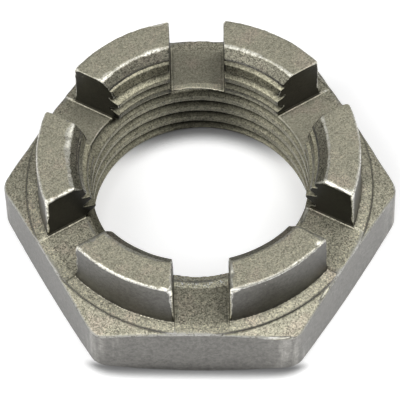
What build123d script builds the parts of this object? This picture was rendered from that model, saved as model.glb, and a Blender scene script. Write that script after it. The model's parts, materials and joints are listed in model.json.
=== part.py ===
"""Castle nut for an M25 x 2 axle thread: a forged hexagon with a slotted crown.

One piece of steel.  The hexagon gives the spanner its grip, the turned shelf
above it is what the slots run out on, and the crown stands on that shelf.  A
split pin goes through any two opposite slots and the bolt's cross hole.

Frame: millimetres, +Z up along the thread, origin at the middle of the bearing
face, two of the hexagon's flats square to Y.
"""
from build123d import *
from math import cos, radians, tan
import os

# ---- Thread and bore ------------------------------------------------------
thread_diameter = 25.0      # nominal, over the bolt's crests
thread_pitch = 2.0          # right-hand; the bore stands at the thread's crests
thread_depth_ratio = 0.5413 # depth of a 60 degree metric thread, in pitches
crest_clearance = 0.13      # bore's radius over the basic one, inside its tolerance
crown_countersink = 0.9     # rim of the crown's countersink, beyond the nominal radius
bearing_chamfer = 0.55      # breaks the thread's start at the bearing face

# ---- Hexagon ---------------------------------------------------------------
across_flats = 36.0
hexagon_height = 8.0        # bearing face to the shelf round the crown
corner_radius = 2.0         # upright corners, as forged
shoulder_radius = 0.5       # along the top of each flat
bearing_inset = 0.5         # bearing circle, inside the flats
bottom_slope = 20.0         # degrees, under the corners

# ---- Turned shelf round the crown -----------------------------------------
shelf_overrun = 0.2         # shelf's circle, beyond the flats
shelf_step = 0.25           # drop from the shelf to the corners
corner_slope = 15.0         # degrees, corners falling away from the shelf

# ---- Crown and slots -------------------------------------------------------
height = 14.0               # whole nut
crown_inset = 1.15          # crown's foot, inside the flats
crown_draft = 1.2           # degrees, for the forging die
crown_edge = 0.6            # rounding of the crown's top rim
crown_foot = 0.35           # fillet where the crown meets the shelf
slot_count = 6
slot_width = 6.0
slot_turn = 2.6             # degrees, slots cut slightly out of line with the flats

# ---- Worked out from the sizes above --------------------------------------
flat_radius = across_flats / 2
thread_radius = thread_diameter / 2
bore_radius = thread_radius - thread_depth_ratio * thread_pitch + crest_clearance
crown_countersink_radius = thread_radius + crown_countersink
bearing_rim_radius = bore_radius + bearing_chamfer
bearing_radius = flat_radius - bearing_inset
shelf_radius = flat_radius + shelf_overrun
blank_radius = flat_radius / cos(radians(30)) + 1            # just outside the corners
corner_top = hexagon_height - shelf_step
slope_drop = (blank_radius - shelf_radius) * tan(radians(corner_slope))
bottom_rise = (blank_radius - bearing_radius) * tan(radians(bottom_slope))
crown_height = height - hexagon_height
crown_foot_radius = flat_radius - crown_inset
crown_top_radius = crown_foot_radius - crown_height * tan(radians(crown_draft))
crown_land = crown_top_radius - crown_countersink_radius     # flat left on top


with BuildPart() as castle_nut:
    # Hexagon, with its upright corners and its shoulders rounded.
    with BuildSketch():
        RegularPolygon(radius=flat_radius, side_count=6, major_radius=False)
        corners = vertices()
        fillet(corners, corner_radius)
    extrude(amount=hexagon_height)
    shoulders = faces().sort_by(Axis.Z)[-1].edges()
    fillet(shoulders, shoulder_radius)

    # The turned form: bearing circle, sloped corners above and below, shelf.
    with BuildSketch(Plane.XZ):
        with BuildLine():
            Polyline(
                (0, 0),
                (bearing_radius, 0),
                (blank_radius, bottom_rise),
                (blank_radius, corner_top - slope_drop),
                (shelf_radius, corner_top),
                (shelf_radius, hexagon_height),
                (0, hexagon_height),
                close=True,
            )
        make_face()
    revolve(axis=Axis.Z, mode=Mode.INTERSECT)

    # Crown, tapered for the die, rounded at its rim and filleted at its foot.
    with BuildSketch(Plane.XZ):
        with BuildLine():
            Polyline(
                (0, hexagon_height),
                (crown_foot_radius, hexagon_height),
                (crown_top_radius, height),
                (0, height),
                close=True,
            )
        make_face()
    revolve(axis=Axis.Z)
    circles = edges().filter_by(GeomType.CIRCLE)
    rim = circles.group_by(Axis.Z)[-1]
    fillet(rim, min(crown_edge, crown_land / 3))
    inner_circles = edges().filter_by(GeomType.CIRCLE).filter_by_position(
        Axis.Z, hexagon_height - 0.01, hexagon_height + 0.01
    )
    foot = inner_circles.sort_by(SortBy.RADIUS)[0]
    fillet(foot, crown_foot)

    # Bore at the thread's crests, countersunk at the crown and chamfered at the face.
    with BuildSketch(Plane.XZ):
        with BuildLine():
            Polyline(
                (0, 0),
                (bearing_rim_radius, 0),
                (bore_radius, bearing_chamfer),
                (bore_radius, height - crown_countersink_radius + bore_radius),
                (crown_countersink_radius, height),
                (0, height),
                close=True,
            )
        make_face()
    revolve(axis=Axis.Z, mode=Mode.SUBTRACT)

    # Slots across the crown, down to the shelf.
    with BuildSketch(Plane.XY.offset(hexagon_height)):
        with PolarLocations(0, slot_count // 2, start_angle=90 + slot_turn, angular_range=180):
            Rectangle(2 * flat_radius, slot_width)
    extrude(amount=crown_height, mode=Mode.SUBTRACT)

castle_nut.part.label = "castle_nut"

os.makedirs("parts", exist_ok=True)
export_step(castle_nut.part, "parts/castle_nut.step")
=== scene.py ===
# %% [markdown]
# # A castle nut, sculpted in a grid of distances
#
# The real piece is a thin hexagon nut with a crown of six castles. It is forged hot, turned on its
# shelf and in its bore, threaded, slotted for a split pin, and then blasted with steel shot. The
# blasting leaves the faces that look up dull and grainy, and handling wears every edge bright.
#
# The packed CAD part is the frame for this scene: its box gives the height and the width across
# the flats, and its record gives the thread. The scene works in millimetres up to the finished
# mesh, and in metres from there.

# %% The frame and the tools
import json
from itertools import product
from math import cos, pi, radians, sin, sqrt, tan

import bpy
import numpy as np
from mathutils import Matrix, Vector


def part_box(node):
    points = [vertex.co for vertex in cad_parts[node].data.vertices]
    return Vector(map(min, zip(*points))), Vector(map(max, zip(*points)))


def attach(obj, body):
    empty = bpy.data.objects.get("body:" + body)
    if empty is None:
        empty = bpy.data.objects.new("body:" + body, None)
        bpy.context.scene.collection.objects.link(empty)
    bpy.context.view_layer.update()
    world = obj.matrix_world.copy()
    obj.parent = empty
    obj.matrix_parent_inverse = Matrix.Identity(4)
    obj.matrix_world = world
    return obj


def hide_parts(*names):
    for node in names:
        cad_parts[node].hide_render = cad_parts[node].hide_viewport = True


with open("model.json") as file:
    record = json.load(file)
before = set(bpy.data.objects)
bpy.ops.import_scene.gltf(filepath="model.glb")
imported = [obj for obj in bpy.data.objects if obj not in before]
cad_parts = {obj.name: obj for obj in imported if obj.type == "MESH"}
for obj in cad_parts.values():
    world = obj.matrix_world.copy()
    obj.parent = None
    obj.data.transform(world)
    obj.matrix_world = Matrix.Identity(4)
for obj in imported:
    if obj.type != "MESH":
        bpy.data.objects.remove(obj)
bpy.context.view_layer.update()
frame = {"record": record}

import openvdb
from mathutils import Quaternion, Vector

NODE = "castle_nut"
MM = 1000                                   # millimetres in a metre
cad_low, cad_high = (np.array(corner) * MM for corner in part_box(NODE))
print("CAD box, mm:", cad_low.round(3), cad_high.round(3))

# %% [markdown]
# ## Sizes
#
# Height and width come from the CAD box, and the radius at the thread's crests from the mount that
# the record states for it. The rest are the nut's own sizes. They keep to the CAD part, apart from
# the shelf round the crown: on the real nut it falls a little outwards and its circle is worn back.

# %% Sizes in millimetres
height = cad_high[2]
flat_radius = cad_high[1]                   # half the width across the flats
mounts = {mount["name"]: mount for mount in frame["record"]["mounts"]}
crest_radius = mounts["thread"]["dims"]["r_mm"]

hexagon_height = 8.0
corner_radius = 2.0                         # upright corners
corner_slope = radians(15)                  # top of the corners, falling away
bearing_radius = 17.5
bottom_slope = radians(20)                  # under the corners
shelf_radius = 18.05
shelf_slope = radians(7)
shelf_step = 0.25                           # drop from the shelf's circle to the corners

crown_foot_radius = 16.85
crown_draft = radians(1.2)
crown_countersink = 13.4                    # radius of the cone's rim
bearing_chamfer = 0.55
print("height", height, "flats", 2 * flat_radius, "crest radius", crest_radius)

# %% [markdown]
# ## A solid as a distance
#
# A nut could be built from booleans and bevels, but a thread that runs out into a countersink and
# is then cut by slots breaks most of them. A distance does not break: it is a number at every point
# of space, negative in the steel and positive outside. Cutting is a maximum, joining is a minimum,
# and a worn edge is a maximum with a radius in it.

# %% Cutting and joining with a radius
def both(a, b, radius=0.0):
    """Steel where both a and b are steel; the edge between them is rounded."""
    corner = np.hypot(np.maximum(a + radius, 0), np.maximum(b + radius, 0))
    return np.minimum(np.maximum(a, b), -radius) + corner


def either(a, b, radius=0.0):
    """Steel where a or b is steel; the inner corner between them is filleted."""
    return -both(-a, -b, radius)


def hexagon_distance(x, y, apothem, rounding):
    """Distance to a hexagon with two flats square to Y and rounded corners."""
    inner = apothem - rounding
    fold_x, fold_y, half_side = -cos(radians(30)), sin(radians(30)), tan(radians(30))
    x, y = np.abs(x), np.abs(y)
    reach = 2 * np.minimum(fold_x * x + fold_y * y, 0)
    x, y = x - reach * fold_x, y - reach * fold_y
    x, y = x - np.clip(x, -half_side * inner, half_side * inner), y - inner
    return np.hypot(x, y) * np.sign(y) - rounding


box_end = np.array(cad_high[0])
at_corner = float(hexagon_distance(box_end, np.array(0.0), flat_radius, corner_radius))
print("the hexagon's corner lies", round(at_corner, 4), "mm off the end of the CAD box")

# %% [markdown]
# ## Unevenness
#
# Nothing on a forging is true. A box of random numbers, read between its grid points with an ease
# in and out, gives lumps of any size. They swell and pinch the worn edges here, and later they make
# the skin lumpy. The numbers come from a seed, so that the nut is the same each time.

# %% Lumps
LATTICE = 32                                # random numbers along each side of the box


def lumps(x, y, z, size, seed):
    """Smooth unevenness between -1 and 1, in lumps of that size in millimetres."""
    lattice = np.random.default_rng(seed).uniform(-1, 1, (LATTICE,) * 3).astype(np.float32)
    cells, eases = [], []
    for value in (x, y, z):
        cell = np.floor(value / size)
        part = value / size - cell
        cells.append(cell.astype(np.int32))
        eases.append(part * part * (3 - 2 * part))
    total = 0
    for corner in product((0, 1), repeat=3):
        places = tuple((cell + step) % LATTICE for cell, step in zip(cells, corner))
        share = 1
        for ease, step in zip(eases, corner):
            share = share * (ease if step else 1 - ease)
        total = total + lattice[places] * share
    return total


def unevenness(x, y, z):
    """How far an edge is worn there, as a share of the usual wear."""
    coarse, fine = lumps(x, y, z, size=1.3, seed=3), lumps(x, y, z, size=0.45, seed=4)
    return 1 + 0.55 * coarse + 0.3 * fine


along_x = unevenness(np.linspace(-10, 10, 200), np.zeros(200), np.zeros(200))
print("wear along a line, from", round(along_x.min(), 2), "to", round(along_x.max(), 2), "of usual")

# %% [markdown]
# ## The forging
#
# The blank is a hexagon whose corners slope away above and below. The lathe left a shelf round the
# crown that falls a little outwards and ends in a small step, which shows as a dark circle,
# darkened further with painted shade. The crown is a ring with a little draft, for the die.

# %% Blank and crown
shoulder_wear = 0.26                        # rounding along the top of each flat
shelf_wear = 0.06                           # of the shelf's circle
shelf_fillet = 0.05                         # in the step under that circle
bearing_wear = 0.12                         # all round the underside
rim_wear = 0.34                             # of the crown's outer rim
foot_fillet = 0.05                          # where the crown meets the shelf


def forging(x, y, z, radius, wear):
    """Distance to the forged and turned blank, before it is bored and slotted."""
    flats = hexagon_distance(x, y, flat_radius, corner_radius)
    shelf_top = z - hexagon_height + (radius - crown_foot_radius) * tan(shelf_slope)
    shelf = both(radius - shelf_radius, shelf_top, shelf_wear)
    drop = shelf_step + (shelf_radius - crown_foot_radius) * tan(shelf_slope)
    fall = (radius - shelf_radius) * tan(corner_slope)
    corners = (z - hexagon_height + drop + fall) * cos(corner_slope)
    upper = either(shelf, corners, shelf_fillet)
    body = both(flats, upper, shoulder_wear * (0.4 + 0.6 * wear))
    rise = (radius - bearing_radius) * tan(bottom_slope)
    body = both(body, np.maximum(-z, (rise - z) * cos(bottom_slope)), bearing_wear)

    taper = (z - hexagon_height) * tan(crown_draft)
    wall = (radius - crown_foot_radius + taper) * cos(crown_draft)
    crown = both(wall, z - height, rim_wear * (0.5 + 0.5 * wear))
    return either(body, np.maximum(crown, -z), foot_fillet)


in_middle = float(forging(np.array(0.0), np.array(-flat_radius), np.array(4.0), flat_radius, 1.0))
print("the blank's surface lies", round(in_middle, 4), "mm off the middle of a flat")

# %% [markdown]
# ## The bore and its thread
#
# The thread is a groove that climbs one pitch a turn. Wrapping the height that is left after taking
# the climb away gives the groove's own cross-section everywhere at once: a V with 30 degree sides
# and a flat root. The hole under it was drilled a little off its axis, so the crests are fuller on
# one side. In the crown the crests are opened out, the groove is deeper and its last turn hangs
# back, and a 45 degree cone starts the thread at each end.

# %% Bore and thread
pitch = 2.0
thread_side = radians(30)
root_radius, root_flat = 12.37, 0.25
crown_root, crown_root_reach = 0.18, 3.0    # the groove deepens by this, over this height
groove_height = 0.8                         # of the groove's middle at +X
lag, lag_height, lag_reach = 0.6, 10.5, 2.3     # the last turn hangs back, from here, over this
drill_radius = crest_radius - 0.33          # the crests are fuller than a true drill leaves them
drill_x, drill_y = 0.08, 0.42               # the drill's axis
drill_oval = 0.989                          # the hole is a little wide across X
mouth_radius, mouth_height, mouth_slope = 11.95, 11.85, 0.4     # the crown's bore opens upwards
crest_wear = 0.06
crown_cone_wear, bearing_cone_wear = 0.06, 0.08


def bore(x, y, z, angle, radius, wear):
    """Positive in the threaded hole and negative in the steel round it."""
    drilled = drill_radius - np.hypot((x - drill_x) * drill_oval, y - drill_y)
    opened = mouth_radius + (z - mouth_height) * mouth_slope - radius
    opened = opened / np.hypot(1, mouth_slope)
    hung_back = lag * np.clip((z - lag_height) / lag_reach, 0, 1)
    climb = z - groove_height - pitch * angle / (2 * pi) + hung_back
    along = np.abs(climb - pitch * np.round(climb / pitch))
    root = root_radius + crown_root * np.clip((z - hexagon_height) / crown_root_reach, 0, 1)
    side = (along - root_flat / 2) * cos(thread_side) - (root - radius) * sin(thread_side)
    groove = np.maximum(side, radius - root)
    wall = both(np.maximum(drilled, opened), -groove, crest_wear)
    crown_cone = (crown_countersink - height + z - radius) / sqrt(2)
    bearing_cone = (crest_radius + bearing_chamfer - z - radius) / sqrt(2)
    return both(both(wall, crown_cone, crown_cone_wear * wear), bearing_cone, bearing_cone_wear)


print("groove", round(root_radius - crest_radius, 3), "mm deep, climbing", pitch, "mm a turn")

# %% [markdown]
# ## Slots
#
# Three passes of one cutter across the crown leave six slots. They are turned a little out of line
# with the flats, and they bite just into the shelf. The cutter's own corners are worn, which leaves
# a tiny fillet along the foot of each wall: a thin line that catches the light.

# %% Slots
slot_half = 2.80                            # half the width at the foot
slot_draft = radians(0.6)
slot_turns = (2.2, 2.6, 2.6)                # degrees, out of line with the flats
slot_overcut = 0.18                         # depth cut into the shelf
cutter_corner = 0.13
slot_angles = [pi / 2 + radians(turn) + k * pi / 3 for k, turn in enumerate(slot_turns)]


def slots(x, y, z):
    """Distance out of the nearest slot, negative inside one."""
    across = [np.abs(y * cos(angle) - x * sin(angle)) for angle in slot_angles]
    beside = np.minimum(np.minimum(across[0], across[1]), across[2]) - slot_half
    beside = (beside - (z - hexagon_height) * tan(slot_draft)) * cos(slot_draft)
    return both(beside, hexagon_height - slot_overcut - z, cutter_corner)


slot_degrees = [round(angle * 180 / pi, 1) for angle in slot_angles]
print("slots at", slot_degrees, "degrees, and opposite")

# %% [markdown]
# ## Knocks
#
# Nuts travel loose in a crate, and each corner that stands out gets its own chip or dent. Each is a
# small ellipsoid taken out, given by the azimuth, radius and height of its middle, the heading of
# its length, and its half sizes along, across and upright.

# %% Knocks
KNOCKS = [
    (106, 16.75, 14.15, 196, (1.3, 0.45, 0.45)),        # dent in the rim, near the back slot
    (164, 14.0, 14.3, 165, (0.6, 0.6, 0.36)),           # corner worn right down beside a slot
    (-101, 16.65, 14.1, -15, (0.5, 0.3, 0.28)),         # chips on both sides of the front slot
    (-76.5, 16.95, 13.7, 14, (0.8, 0.45, 0.45)),
    (-79, 16.6, 14.1, 60, (0.5, 0.3, 0.3)),
    (-47.5, 16.85, 14.1, 42, (0.35, 0.3, 0.4)),         # notches in the front rims
    (-58, 16.95, 13.95, 32, (0.7, 0.25, 0.25)),
    (-118, 16.95, 13.9, -28, (0.9, 0.22, 0.22)),
    (-41, 16.6, 14.2, 30, (0.6, 0.5, 0.35)),
    (-18, 11.55, 7.9, 72, (1.2, 0.25, 0.25)),           # torn rim of the bore, right of the front
    (47, 18.6, 7.5, 137, (1.2, 0.2, 0.2)),              # nick in the right back flat's edge
    (-44.5, 18.35, 7.5, 60, (1.1, 0.13, 0.2)),          # scratches along the right front flat
    (-41.5, 18.75, 7.35, 62, (0.8, 0.11, 0.16)),
    (-64.5, 19.8, 7.15, 6, (1.8, 0.13, 0.3)),           # fold along the top of the front flat
    (-66.5, 19.95, 6.85, 2, (0.7, 0.22, 0.14)),
    (-61, 20.6, 6.95, 25, (0.6, 0.3, 0.25)),            # the hexagon's six corners
    (-116, 20.3, 7.0, -5, (0.5, 0.25, 0.2)),
    (2, 20.6, 6.95, 80, (0.8, 0.3, 0.25)),
    (-179, 20.65, 6.95, 95, (0.7, 0.3, 0.25)),
    (118, 20.5, 6.95, 20, (0.9, 0.3, 0.25)),
    (62, 20.6, 6.9, 150, (0.6, 0.3, 0.3)),
]
FAR = 9.0                                   # farther than any knock that matters


def knocks(x, y, z):
    """Distance out of the nearest knock, negative inside one."""
    nearest = np.full(np.broadcast(x, y, z).shape, FAR, np.float32)
    for azimuth, out, up, heading, (length, width, depth) in KNOCKS:
        off_x, off_y = x - out * cos(radians(azimuth)), y - out * sin(radians(azimuth))
        ahead, beside = cos(radians(heading)), sin(radians(heading))
        along, across = off_x * ahead + off_y * beside, off_y * ahead - off_x * beside
        reach = np.sqrt((along / length) ** 2 + (across / width) ** 2 + ((z - up) / depth) ** 2)
        nearest = np.minimum(nearest, (reach - 1) * min(width, depth))
    return nearest


print("knocks:", len(KNOCKS))

# %% [markdown]
# ## The whole nut
#
# One function puts the cuts in the order that the shop makes them. It can leave out the knocks and
# most of the wear: the difference between the worn nut and the sharp one later tells the finish
# where metal was lost.

# %% The nut
bore_wear = 0.09                            # rounding of the bore's edges
mouth_wear, left_mouth_wear = 0.13, 0.12    # more of it at the crown's rim, and on its left
slot_wear = 0.13                            # rounding of the slots' edges
castle_wear = 0.28                          # more of it at the castles' outer corners
front_wear = 0.42                           # and along the tops of the front slots
knock_wear = 0.06                           # rounding round each knock
SHARP = 1e-3                                # share of the usual wear that a sharp nut has


def nut(x, y, z, worn=True):
    """Distance to the nut, with its wear and knocks or without them."""
    radius, angle = np.hypot(x, y), np.arctan2(y, x)
    wear = unevenness(x, y, z) if worn else SHARP
    solid = forging(x, y, z, radius, wear)

    left = np.clip(-x / 10 - 0.2, 0, 1)                     # from 2 to 12 mm left of the axis
    at_mouth = np.clip(z - height + 1, 0, 1)                # over the top millimetre
    rim = bore_wear * wear + (mouth_wear + left_mouth_wear * left) * wear * at_mouth
    solid = both(solid, bore(x, y, z, angle, radius, wear), rim)

    above_shelf = np.clip(z - hexagon_height - 0.3, 0, 1)
    outer = np.clip(radius - crown_foot_radius + 1.1, 0, 1) * above_shelf
    front = np.clip(0.5 - y / 7, 0, 1)                      # full 3.5 mm before the axis
    front_top = np.clip(z - height + 0.9, 0, 1) * front
    edge = (slot_wear + castle_wear * outer + front_wear * front_top) * wear
    solid = both(solid, -slots(x, y, z), edge)
    if worn:
        solid = both(solid, -knocks(x, y, z), knock_wear)
    return solid


in_flat = float(nut(np.array([0.0]), np.array([-15.0]), np.array([4.0]))[0])
print("steel round a point inside a flat, mm:", round(-in_flat, 3))

# %% [markdown]
# ## From distances to a mesh
#
# The distance is sampled on a grid, and OpenVDB joins the points where it changes sign into
# squares. A grid alone would round the thread off, so a second step follows it.

# %% Sample and mesh
step = 0.12
margin = 2.5 * step                         # of empty space round the nut


def axis_samples(low, high):
    """Grid lines from low to high, and over the margin on both sides."""
    return np.arange(low - margin, high + margin, step, dtype=np.float32)


xs, ys, zs = (axis_samples(low, high) for low, high in zip(cad_low, cad_high))
field = nut(xs[:, None, None], ys[None, :, None], zs[None, None, :]).astype(np.float32)
grid = openvdb.FloatGrid(background=1.0)
grid.copyFromArray(field)
corners, _, squares = grid.convertToPolygons(isovalue=0.0, adaptivity=0.0)
points = corners * step + np.array([xs[0], ys[0], zs[0]])
print("grid", field.shape, "squares", len(squares))

# %% [markdown]
# ## Onto the true surface
#
# The distance can be asked anywhere, not only on the grid. A Newton step moves each corner of the
# mesh along the slope by the distance that is left, and three of them sharpen the thread and the
# fillets again. Where the slope is weak, at a ridge, the step is held back.

# %% Three Newton steps
NEWTON_STEPS = 3
LEAST_SLOPE = 0.25


def slope(points, reach=0.02):
    """Gradient of the distance at each point."""
    ends = []
    for axis in np.eye(3) * reach:
        ends.append(nut(*(points + axis).T) - nut(*(points - axis).T))
    return np.stack(ends, axis=1) / (2 * reach)


for _ in range(NEWTON_STEPS):
    gradient = slope(points)
    length = np.maximum((gradient ** 2).sum(1), LEAST_SLOPE)
    move = -(nut(*points.T) / length)[:, None] * gradient
    points = points + np.clip(move, -step, step)
print("left to go, mm:", float(np.percentile(np.abs(nut(*points.T)), 99.9)))

# %% [markdown]
# ## The skin
#
# A forged and blasted skin is never flat: it rolls by a few hundredths of a millimetre, which is
# what makes a reflection wander. Displacing a finished mesh with a texture could do it, but the
# skin must not leave the box of the CAD part. So it lies a little under the smooth nut on the
# whole, fades out towards the underside, and the points that still stand out are held to the box.

# %% Lumpy skin, inside the CAD box
skin_under = 0.012                          # middle depth of the skin
foot_fade = 0.5                             # height over which the skin fades in


def skin_depth(points):
    """How far the lumpy skin lies under the smooth nut."""
    coarse, fine = lumps(*points.T, size=2.6, seed=11), lumps(*points.T, size=0.9, seed=12)
    lumpy = 0.018 * coarse + 0.010 * fine
    return (skin_under - lumpy) * np.clip(points[:, 2] / foot_fade, 0, 1)


def outward(points):
    """The surface's normal at each point."""
    normal = slope(points)
    return normal / np.maximum(np.linalg.norm(normal, axis=1, keepdims=True), 1e-6)


depth = skin_depth(points)
points = np.clip(points - outward(points) * depth[:, None], cad_low, cad_high)
print("skin from", round(float(depth.min()), 3), "to", round(float(depth.max()), 3), "mm under")

# %% [markdown]
# ## The mesh
#
# The grid gives small squares everywhere, on plain faces too. The Decimate modifier spends
# triangles where the shape turns, on edges, knocks and thread, and takes them from the flats. The
# finished mesh takes the place of the CAD part and rides on its one body.

# %% Make the object
TRIANGLES = 190_000
nut_mesh = bpy.data.meshes.new(NODE + "_steel")
nut_mesh.from_pydata((points / MM).tolist(), [], squares.tolist())
nut_mesh.update()
piece = bpy.data.objects.new(NODE + "_steel", nut_mesh)
bpy.context.scene.collection.objects.link(piece)

decimate = piece.modifiers.new("Decimate", "DECIMATE")
decimate.ratio = TRIANGLES / (2 * len(squares))
decimated = piece.evaluated_get(bpy.context.evaluated_depsgraph_get())
thinned = bpy.data.meshes.new_from_object(decimated)
piece.modifiers.clear()
piece.data = thinned
thinned.polygons.foreach_set("use_smooth", [True] * len(thinned.polygons))
print("triangles", sum(len(polygon.vertices) - 2 for polygon in thinned.polygons))

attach(piece, "root")
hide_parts(NODE)

# %% [markdown]
# ## What the finish needs to know
#
# Two numbers at each corner of the mesh carry the nut's history to its finish. `worn` is how much
# metal is gone from there, against the sharp nut: it is high on edges and in knocks, and it goes
# below nothing in fillets. `open` says how much free space lies in front of the surface: it is low
# deep in the thread and at the foot of the castles, where light does not reach, and the finish uses
# it to paint shade there.

# %% Worn and open
places = np.empty(len(thinned.vertices) * 3)
thinned.vertices.foreach_get("co", places)
places = places.reshape(-1, 3) * MM
facing = outward(places)

worn = -nut(*places.T, worn=False) - skin_depth(places)
reaches = (0.3, 0.8, 1.8)                   # how far in front of the surface to look
looks = [np.clip(nut(*(places + facing * reach).T) / reach, 0, 1) for reach in reaches]
free = sum(looks) / len(reaches)
for name, values in (("worn", worn), ("open", free)):
    kept = thinned.attributes.new(name, "FLOAT", "POINT")
    kept.data.foreach_set("value", values.astype(np.float32))
    print(name, "from", round(float(values.min()), 3), "to", round(float(values.max()), 3))

thinned.normals_split_custom_set_from_vertices(facing.tolist())

# %% [markdown]
# ## Writing a finish as sums
#
# A shader is arithmetic on masks: where an edge is near, where a face looks up, where dirt gathers.
# Node by node that is hard to read, so one small class wraps an output socket and turns each plus,
# minus and times into a Math node.

# %% Wires
class Wire:
    """An output socket that can be used in sums."""

    def __init__(self, finish, socket):
        self.finish, self.socket = finish, socket

    def maths(self, operation, first, second=0.0):
        """One Math node."""
        return self.finish.add("Math", {"operation": operation}, {0: first, 1: second})

    def __add__(self, other):
        return self.maths("ADD", self, other)

    def __sub__(self, other):
        return self.maths("SUBTRACT", self, other)

    def __rsub__(self, other):
        return self.maths("SUBTRACT", other, self)

    def __mul__(self, other):
        return self.maths("MULTIPLY", self, other)

    def __abs__(self):
        return self.maths("ABSOLUTE", self)

    __radd__, __rmul__ = __add__, __mul__

    def least(self, other):
        return self.maths("MINIMUM", self, other)

    def most(self, other):
        return self.maths("MAXIMUM", self, other)

    def rise(self, low, high):
        """0 below low, 1 above high and smooth between; falls instead if low is above high."""
        if low > high:
            return 1 - self.rise(high, low)
        settings = {"interpolation_type": "SMOOTHSTEP"}
        sockets = {"Value": self, "From Min": low, "From Max": high}
        return self.finish.add("MapRange", settings, sockets)


def mixed(mask, low, high):
    """The number low where mask is 0 and high where it is 1."""
    return low * (1 - mask) + high * mask


print("a wire can:", [name for name, value in vars(Wire).items() if callable(value)])

# %% [markdown]
# ## One way to add a node
#
# Every other node comes from one method too: it takes the node's kind, its settings, which Blender
# wants first, and then a number, a colour or a wire for each socket. The textures that steel needs
# are built on it, and so is the blend of two colours, because a Math node would turn them grey.

# %% Finishes
class Finish:
    """A material being made; add() puts in a node and gives back one of its outputs."""

    def __init__(self, name):
        self.material = bpy.data.materials.new(name)
        self.material.use_nodes = True
        self.material.node_tree.nodes.clear()

    def add(self, kind, settings=None, sockets=None, output=0):
        node = self.material.node_tree.nodes.new("ShaderNode" + kind)
        for name, value in (settings or {}).items():
            setattr(node, name, value)
        for name, value in (sockets or {}).items():
            if isinstance(value, Wire):
                self.material.node_tree.links.new(value.socket, node.inputs[name])
            else:
                node.inputs[name].default_value = value
        return Wire(self, node.outputs[output]) if len(node.outputs) else node

    def stretched(self, where, across, up):
        """A place with its X and Y multiplied by across and its Z by up."""
        factors = (across, across, up)
        return self.add("VectorMath", {"operation": "MULTIPLY"}, {0: where, 1: factors})

    def length(self, where):
        return self.add("VectorMath", {"operation": "LENGTH"}, {0: where}, output="Value")

    def along(self, where, axis):
        return self.add("SeparateXYZ", {}, {"Vector": where}, output=axis)

    def kept(self, name):
        """The number of that name that the mesh carries."""
        return self.add("Attribute", {"attribute_name": name}, output="Fac")

    def blend(self, mask, low, high):
        """Colour low where mask is 0 and colour high where it is 1."""
        settings = {"data_type": "RGBA", "clamp_factor": True}
        return self.add("Mix", settings, {0: mask, 6: low, 7: high}, output=2)

    def noise(self, where, scale, detail=2.0, roughness=0.5, shift=0.0):
        """Cloudy noise about 0.5, with scale clumps to a millimetre, moved by shift."""
        shifts = (shift, -shift, 2 * shift)
        moved = self.add("VectorMath", {"operation": "ADD"}, {0: where, 1: shifts})
        sockets = {"Vector": moved, "Scale": scale, "Detail": detail, "Roughness": roughness}
        return self.add("TexNoise", {}, sockets)

    def shots(self, where, scale):
        """A number from 0 to 1 for each shot mark, with scale marks to a millimetre."""
        sockets = {"Vector": where, "Scale": scale}
        cells = self.add("TexVoronoi", {}, sockets, output="Color")
        return self.add("SeparateColor", {}, {"Color": cells}, output="Red")

    def node_count(self):
        return len(self.material.node_tree.nodes)


print("a finish can:", [name for name in vars(Finish) if not name.startswith("_")])

# %% [markdown]
# ## Where a point is
#
# Each surface of the nut has its own history, and the finish has to tell them apart. It does so by
# where a point is, in the nut's own millimetres, by which way it looks, and by the two numbers that
# the mesh carries. Most answers are masks from 0 to 1.

# %% Places and directions
class Zones:
    """Masks that say where on the nut a point is; each cell below adds some."""

    def __init__(self, finish):
        metres = finish.add("TexCoord", output="Object")
        self.spot = finish.stretched(metres, MM, MM)
        self.x = finish.along(self.spot, "X")
        self.y = finish.along(self.spot, "Y")
        self.z = finish.along(self.spot, "Z")
        self.radius = finish.length(finish.stretched(self.spot, 1.0, 0.0))
        normal = finish.add("TexCoord", output="Normal")
        self.flat = finish.along(normal, "Z").rise(0.35, 0.75)
        self.worn = finish.kept("worn")
        self.open = finish.kept("open")


steel = Finish("blasted_steel")
at = Zones(steel)
at.top = at.z.rise(height - 1.2, height - 0.7)
at.back = at.y.rise(-1.0, 1.0)
at.right = at.x.rise(5.0, 15.0)
at.side = abs(at.x).rise(1.5, 7.5)
print("places and directions:", steel.node_count(), "nodes")

# %% [markdown]
# ## Slots, bore and thread
#
# The slots' walls are painted darker than the floors, which the shot reached, as painted shade. The
# cone at the mouth is turned, and the thread is the rest of the bore. Along the bore's rim in the
# front and back slots, where the cutter ran out over the thread, a band is painted lighter, as
# painted light.

# %% Zones that are cut
across = [abs(at.y * cos(angle) - at.x * sin(angle)) for angle in slot_angles]
beside = across[0].least(across[1]).least(across[2]) - slot_half
above_shelf = at.z.rise(hexagon_height + 0.1, hexagon_height + 0.3)
at.wall = above_shelf * (1 - at.flat)
at.slot_wall = above_shelf * beside.rise(0.30, 0.16) * (1 - at.flat)
in_crown_foot = at.radius.rise(crown_foot_radius + 0.1, crown_foot_radius - 0.1)
on_floor = at.z.rise(hexagon_height - 0.5, hexagon_height - 0.4) * (1 - above_shelf)
at.slot_floor = at.flat * on_floor * in_crown_foot * beside.rise(0.1, -0.1)

in_bore = at.radius.rise(root_radius + 0.25, root_radius + 0.15)
in_front_slot = across[0].rise(slot_half + 0.1, slot_half - 0.1)
near_floor = at.z.rise(hexagon_height - 1.0, hexagon_height - 0.8) * (1 - above_shelf)
# a band at the bore's rim in the front and back slots, painted lighter as painted light
at.burr = at.flat * in_bore * in_front_slot * near_floor
on_cone = at.z.rise(height - 1.3, height - 1.1)
at.cone = at.radius.rise(crown_countersink, crown_countersink - 0.15) * on_cone
at.lip = in_bore * at.z.rise(hexagon_height - 0.5, hexagon_height - 0.35) * (1 - above_shelf)
elsewhere = at.slot_floor.most(at.burr).most(at.cone).most(at.slot_wall)
at.thread = in_bore * (1 - elsewhere)
print("with the cut surfaces:", steel.node_count(), "nodes")

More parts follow.
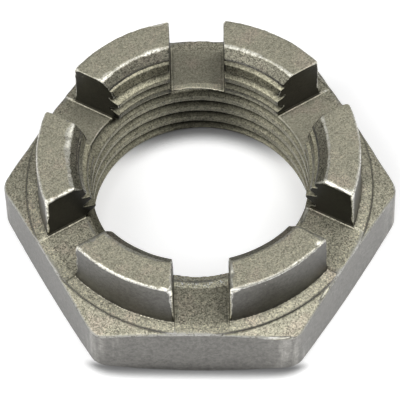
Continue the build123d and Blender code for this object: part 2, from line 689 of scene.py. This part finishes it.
# %% [markdown]
# ## Shelf, corners and flats
#
# Round the crown lie the turned ring and its dark circle, then the forged corners. The six flats
# stand upright below them, and each ends in an upright rounded corner that rubs against its
# neighbours in the crate.

# %% Zones that are forged and turned
at.outside = at.radius.rise(crown_foot_radius - 0.4, crown_foot_radius - 0.2)
at.corner = at.outside * at.flat * (1 - above_shelf)
# the shelf's circle, along which shade is painted
at.circle = abs(at.radius - shelf_radius).rise(0.17, 0.06) * at.corner
at.ring = at.corner * at.radius.rise(shelf_radius, shelf_radius - 0.2)
at.flank = (1 - at.flat) * (1 - in_bore) * at.z.rise(hexagon_height, hexagon_height - 0.2)
farthest = flat_radius / cos(radians(30)) - corner_radius * (1 / cos(radians(30)) - 1)
at.upright = at.radius.rise(farthest - 1.2, farthest - 0.5) * (1 - at.flat)
print("the corners end", round(farthest, 2), "mm out;", steel.node_count(), "nodes")

# %% [markdown]
# ## Shot marks
#
# Shot leaves thousands of overlapping dimples. Each is a patch of metal that faces its own way, so
# a blasted face is dull and sparkles in grains. Real dimples would take millions of triangles. Two
# sizes of random cell and a rough noise stand in for them, as shade and as a fine bump. Slower
# noises give the steel its clouds, and the upright corners the streaks of rubbing.

# %% Grain and clouds
grain = steel.shots(at.spot, 9.0) * 0.5 + steel.shots(at.spot, 5.5) * 0.2
grain = grain + steel.noise(at.spot, 5.0, detail=3.0, roughness=0.8) * 0.5 - 0.6
ragged = steel.noise(at.spot, 4.0, detail=5.0, roughness=0.7)
cloudy = steel.noise(at.spot, 0.35, detail=3.0, roughness=0.6, shift=7.0)
worked = steel.noise(at.spot, 2.4, detail=5.0, roughness=0.8, shift=3.0) - 0.5
drawn_out = steel.stretched(at.spot, 1.0, 0.12)
streaks = steel.noise(drawn_out, 0.9, detail=4.0, roughness=0.6)
print("with grain and clouds:", steel.node_count(), "nodes")

# %% [markdown]
# ## How bright each surface is
#
# Metal shows only what it mirrors, so the finish says how much light each surface gives back. The
# faces that look up are blasted clean and pale. The slots' walls are painted dark, as painted
# shade.
# The thread is dark, with painted shade deepest between two crests and painted light at its sides.

# %% Shade of each surface
# the slots' walls' level is painted shade, and the thread's extra level at its sides is painted
# light
UP, UPRIGHT, SLOT_FLOOR, SLOT_WALL_PAINTED_SHADE, CONE = 0.43, 0.145, 0.44, 0.036, 0.23
THREAD, THREAD_IN_CROWN, THREAD_SIDES_PAINTED_LIGHT = 0.085, 0.08, 0.12

level = mixed(at.flat, UPRIGHT, UP) * (1 + 0.14 * at.top)
level = level * (1 + 0.9 * at.upright * streaks.rise(0.42, 0.72))       # rubbed in streaks
level = level * (1 + 0.3 * at.ring * (1 - at.back))                     # the ring brighter towards the front
flank_painted_light = 0.2 * at.right + 0.45 * at.z.rise(0.6, 0.4)                  # painted light: the flats lighter to the right, and a painted highlight along their lower edge
level = level * (1 + at.flank * flank_painted_light)
level = mixed(at.slot_floor, level, SLOT_FLOOR)
level = mixed(at.cone, level, CONE)

# the thread: painted light at its sides, painted shade on its flats away from the sides and deep
# between two crests
in_crown = at.z.rise(hexagon_height, hexagon_height + 2.5)
in_thread = THREAD + THREAD_IN_CROWN * in_crown - 0.03 * at.flat * (1 - at.side)
in_thread = in_thread + at.side * (THREAD_SIDES_PAINTED_LIGHT + 0.09 * in_crown)
in_thread = in_thread * (0.3 + 0.8 * at.open.rise(0.3, 0.8))
level = mixed(at.thread, level, in_thread)
# painted shade: the slots' walls are dark
level = mixed(at.slot_wall, level, SLOT_WALL_PAINTED_SHADE)
print("with the shades:", steel.node_count(), "nodes")

# %% [markdown]
# ## Grain, painted shade and the dark circle
#
# The grain shows most on the thread and on the faces that look up, least on the flats, which are
# forged smooth. Where the surface is closed in, the colour is darkened as painted shade: at the
# foot of the castles, in the turned circle, and in the fillets.

# %% Contrast and painted shade
contrast = 0.12 + 0.68 * at.flat                            # sideways, and looking up
contrast = contrast + (0.95 - 0.9 * at.flat) * at.thread    # the thread's steep sides
contrast = contrast + 0.15 * at.corner + 0.5 * at.cone
contrast = contrast + (0.25 - 0.55 * at.back) * at.slot_floor
contrast = contrast - (0.12 + 0.1 * at.back) * at.top       # castles worn smooth on top
level = level * (1 + 2 * contrast * grain + 1.8 * worked * (1 - at.flat)) * (0.9 + 0.2 * cloudy)

# painted shade where the surface is closed in, and along the shelf's circle
level = level * (0.25 + 0.75 * at.open.rise(0.1, 0.6)) * (1 - 0.5 * at.circle)
up_the_wall = at.z.rise(hexagon_height + 0.5, height - 0.5)
# painted shade: the walls above the shelf are darker, most of all towards their foot
level = level * mixed(at.wall, 1.0, 0.40 + 0.38 * up_the_wall)
# painted light on that band, over the shade of the groove's flank
level = level * (1 + (0.9 - 0.4 * at.back) * at.burr)
# painted shade in the fillets outside the crown's foot
level = level * (1 - 0.8 * at.worn.rise(-0.003, -0.012) * at.outside)
print("with grain and grime:", steel.node_count(), "nodes")

# %% [markdown]
# ## Handled and rubbed edges
#
# Metal is lost in two ways. Handling polishes every edge a little, in a broken line that the `worn`
# number finds early. Knocks and rubbing take more metal and leave it bright and smooth, but not at
# the bottom of a deep dent. Both lines are made ragged by the grain.

# %% Worn edges
BARE_TOP, BARE_SIDE, FOOT_WEAR_AND_HIGHLIGHT, RUBBED = 0.6, 0.42, 0.4, 0.8

broken = ragged + 0.5 * grain
handled = (at.worn + 0.03 * (ragged - 0.5)).rise(0.006, 0.03) * broken.rise(0.25, 0.55)
handled = handled * (1 - at.thread * (1 - at.lip))
# handled edges near the bottom are brighter: wear, with a painted highlight along the bottom edge
level = mixed(handled, level, mixed(at.top, BARE_SIDE + FOOT_WEAR_AND_HIGHLIGHT * at.z.rise(1.0, 0.6), BARE_TOP))

least_wear = mixed(at.top, 0.10, 0.045)
rubbed = (at.worn + 0.2 * (broken - 0.5) - least_wear).rise(0.0, 0.03) * (1 - at.thread)
rubbed = rubbed * at.worn.rise(0.34, 0.22)
level = mixed(rubbed, level, RUBBED)
print("with worn edges:", steel.node_count(), "nodes")

# %% [markdown]
# ## Blasted steel
#
# The colour is a tint times the level. The faces that look up keep a thin olive film of oil with
# clouds of rust in it, the thread and the slots are sooty, and bare metal is near white. Each tint
# is a colour of about the same brightness, so that the level alone sets how bright a surface is.

# %% Blasted steel
OLIVE, NEUTRAL, SOOT = (1.045, 1.0, 0.78, 1.0), (1.03, 1.0, 0.93, 1.0), (1.05, 1.0, 0.74, 1.0)
BARE, RUSTY = (1.0, 0.995, 0.93, 1.0), (1.12, 0.98, 0.80, 1.0)
GRAIN_DEPTH = 0.00002                       # metres, for the bump

tint = steel.blend(at.flat, NEUTRAL, OLIVE)
tint = steel.blend(cloudy.rise(0.5, 0.7) * at.flat * 0.6, tint, RUSTY)
tint = steel.blend(at.thread.most(at.slot_wall), tint, SOOT)
tint = steel.blend(handled * 0.7, tint, BARE)
multiply = {"data_type": "RGBA", "blend_type": "MULTIPLY"}
colour = steel.add("Mix", multiply, {0: 1.0, 6: tint, 7: level}, output=2)

roughness = 0.42 + 0.12 * at.flat - 0.14 * rubbed       # blasted faces dull, rubbed edges less
relief = grain * (0.3 + 0.7 * at.flat) * (1 - 0.8 * rubbed)
sockets = {"Strength": 1.0, "Distance": GRAIN_DEPTH, "Height": relief}
normal = steel.add("Bump", {}, sockets)
sockets = {"Base Color": colour, "Metallic": 1.0, "Roughness": roughness, "Normal": normal}
surface = steel.add("BsdfPrincipled", {}, sockets)
steel.add("OutputMaterial", {}, {"Surface": surface})
piece.data.materials.append(steel.material)
print(steel.material.name, "has", steel.node_count(), "nodes")

# %% [markdown]
# ## Floor
#
# The nut lies on a pale table in a light room. A lit floor alone would be grey, and more light on
# it would burn out the steel, so the floor adds a glow that only the camera and mirrors see.

# %% A floor that glows for the camera
GREY, PALE, DARK, WHITE = ((shade, shade, shade, 1.0) for shade in (0.8, 0.9, 0.1, 1.0))
GLOW = 0.42

table = Finish("pale_floor")
camera_ray = table.add("LightPath", output="Is Camera Ray")
glossy_ray = table.add("LightPath", output="Is Glossy Ray")
through_ray = table.add("LightPath", output="Is Transmission Ray")
plain = table.add("BsdfDiffuse", {}, {"Color": GREY})
bright = table.add("BsdfDiffuse", {}, {"Color": PALE})
glow = table.add("Emission", {}, {"Color": WHITE, "Strength": GLOW})
glowing = table.add("AddShader", {}, {0: bright, 1: glow})
print("a glowing floor:", table.node_count(), "nodes")

# %% [markdown]
# ## The shade beside the nut
#
# Right beside the nut the table gets less light from above, but its glow would hide that. Ambient
# occlusion measures how much of the sky each point of the table sees. Where that is little, a dark
# matt surface takes the glow's place, most of all along the front and inside the back of the bore.

# %% Shaded floor
OUTSIDE_REACH, INSIDE_REACH = 0.0018, 0.0029    # metres that the shade spreads


def closed_in(reach):
    """1 where half of the sky within that reach is hidden, 0 where all of it is seen."""
    seen_sky = table.add("AmbientOcclusion", {"samples": 16}, {"Distance": reach}, output="AO")
    return seen_sky.rise(1.0, 0.5)


spot = table.add("TexCoord", output="Object")
y = table.along(spot, "Y")
under_bore = table.length(spot).rise(0.013, 0.012)
outside = closed_in(OUTSIDE_REACH) * mixed(y.rise(-0.0165, -0.0175), 0.06, 0.85)
inside = closed_in(INSIDE_REACH) * under_bore * mixed(y.rise(0.006, 0.0115), 0.15, 0.92)
shaded = table.add("BsdfDiffuse", {}, {"Color": DARK})
seen = table.add("MixShader", {}, {0: outside.most(inside), 1: glowing, 2: shaded})

who = camera_ray.most(glossy_ray).most(through_ray)
surface = table.add("MixShader", {}, {0: who, 1: plain, 2: seen})
table.add("OutputMaterial", {}, {"Surface": surface})
print(table.material.name, "has", table.node_count(), "nodes")

# %% [markdown]
# ## The table
#
# One large square is enough, because no edge of it comes into view.

# %% Floor
half_width = 1.5
ways = ((-1, -1), (1, -1), (1, 1), (-1, 1))
floor_corners = [(x * half_width, y * half_width, 0) for x, y in ways]
floor_mesh = bpy.data.meshes.new("floor")
floor_mesh.from_pydata(floor_corners, [], [(0, 1, 2, 3)])
floor_mesh.materials.append(table.material)
floor = bpy.data.objects.new("floor", floor_mesh)
bpy.context.scene.collection.objects.link(floor)
print("floor", 2 * half_width, "m wide")

# %% [markdown]
# ## Light
#
# Steel shows what stands round it, so the lamps are big plain squares, as softboxes are. The left
# and right ones give the soft light on the faces that look up. The front one stands where the edges
# that lean to the front mirror it, and draws their bright lines. The world is dim, so that the
# slots and the thread keep their depth.

# %% World and lamps
ROOM_LIGHT = 0.15
world = bpy.data.worlds.new("studio")
world.use_nodes = True
background = world.node_tree.nodes["Background"]
background.inputs["Color"].default_value = (1, 1, 1, 1)
background.inputs["Strength"].default_value = ROOM_LIGHT
bpy.context.scene.world = world


def softbox(name, azimuth, elevation, distance, size, level):
    """A square lamp aimed at the nut; level is the radiance of its face."""
    lamp = bpy.data.lights.new(name, "AREA")
    lamp.size = size
    lamp.energy = level * pi * size ** 2
    turn, lift = radians(azimuth), radians(elevation)
    place = Vector((sin(turn) * cos(lift), cos(turn) * cos(lift), sin(lift))) * distance
    holder = bpy.data.objects.new(name, lamp)
    holder.location = place
    holder.rotation_euler = (-place).to_track_quat("-Z", "Y").to_euler()
    bpy.context.scene.collection.objects.link(holder)
    return holder


lamps = [
    softbox("left", azimuth=245, elevation=48, distance=1.0, size=0.8, level=3.1),
    softbox("right", azimuth=95, elevation=60, distance=1.0, size=0.8, level=2.7),
    softbox("front", azimuth=190, elevation=38, distance=1.0, size=0.4, level=4.8),
]
print("lamps, watts:", {lamp.name: round(lamp.data.energy, 2) for lamp in lamps})

# %% [markdown]
# ## Camera
#
# A long lens from far away keeps the nut's circles close to true ellipses. The camera looks down
# steeply at the front slot, a few degrees off its middle, and leans a little to one side.

# %% Camera
camera_azimuth, camera_elevation, camera_roll = radians(3.0), radians(58.5), radians(-1.98)
camera_distance = 0.3836
camera_lens = 329.0
aim = Vector((0, 0, 0.0046))
back = Vector((
    sin(camera_azimuth) * cos(camera_elevation),
    -cos(camera_azimuth) * cos(camera_elevation),
    sin(camera_elevation),
))
camera_data = bpy.data.cameras.new("camera")
camera_data.lens = camera_lens
camera = bpy.data.objects.new("camera", camera_data)
camera.rotation_mode = "QUATERNION"
camera.location = aim + back * camera_distance
leaning = Quaternion((0, 0, 1), camera_roll)
camera.rotation_quaternion = (-back).to_track_quat("-Z", "Y") @ leaning
bpy.context.scene.collection.objects.link(camera)
bpy.context.scene.camera = camera
bpy.context.scene.view_settings.view_transform = "Standard"
print("camera at", [round(value, 4) for value in camera.location])

# %% [markdown]
# ## Size
#
# The finish changes nothing about the part's size. The CAD part's box is kept, in cad_low and
# cad_high.
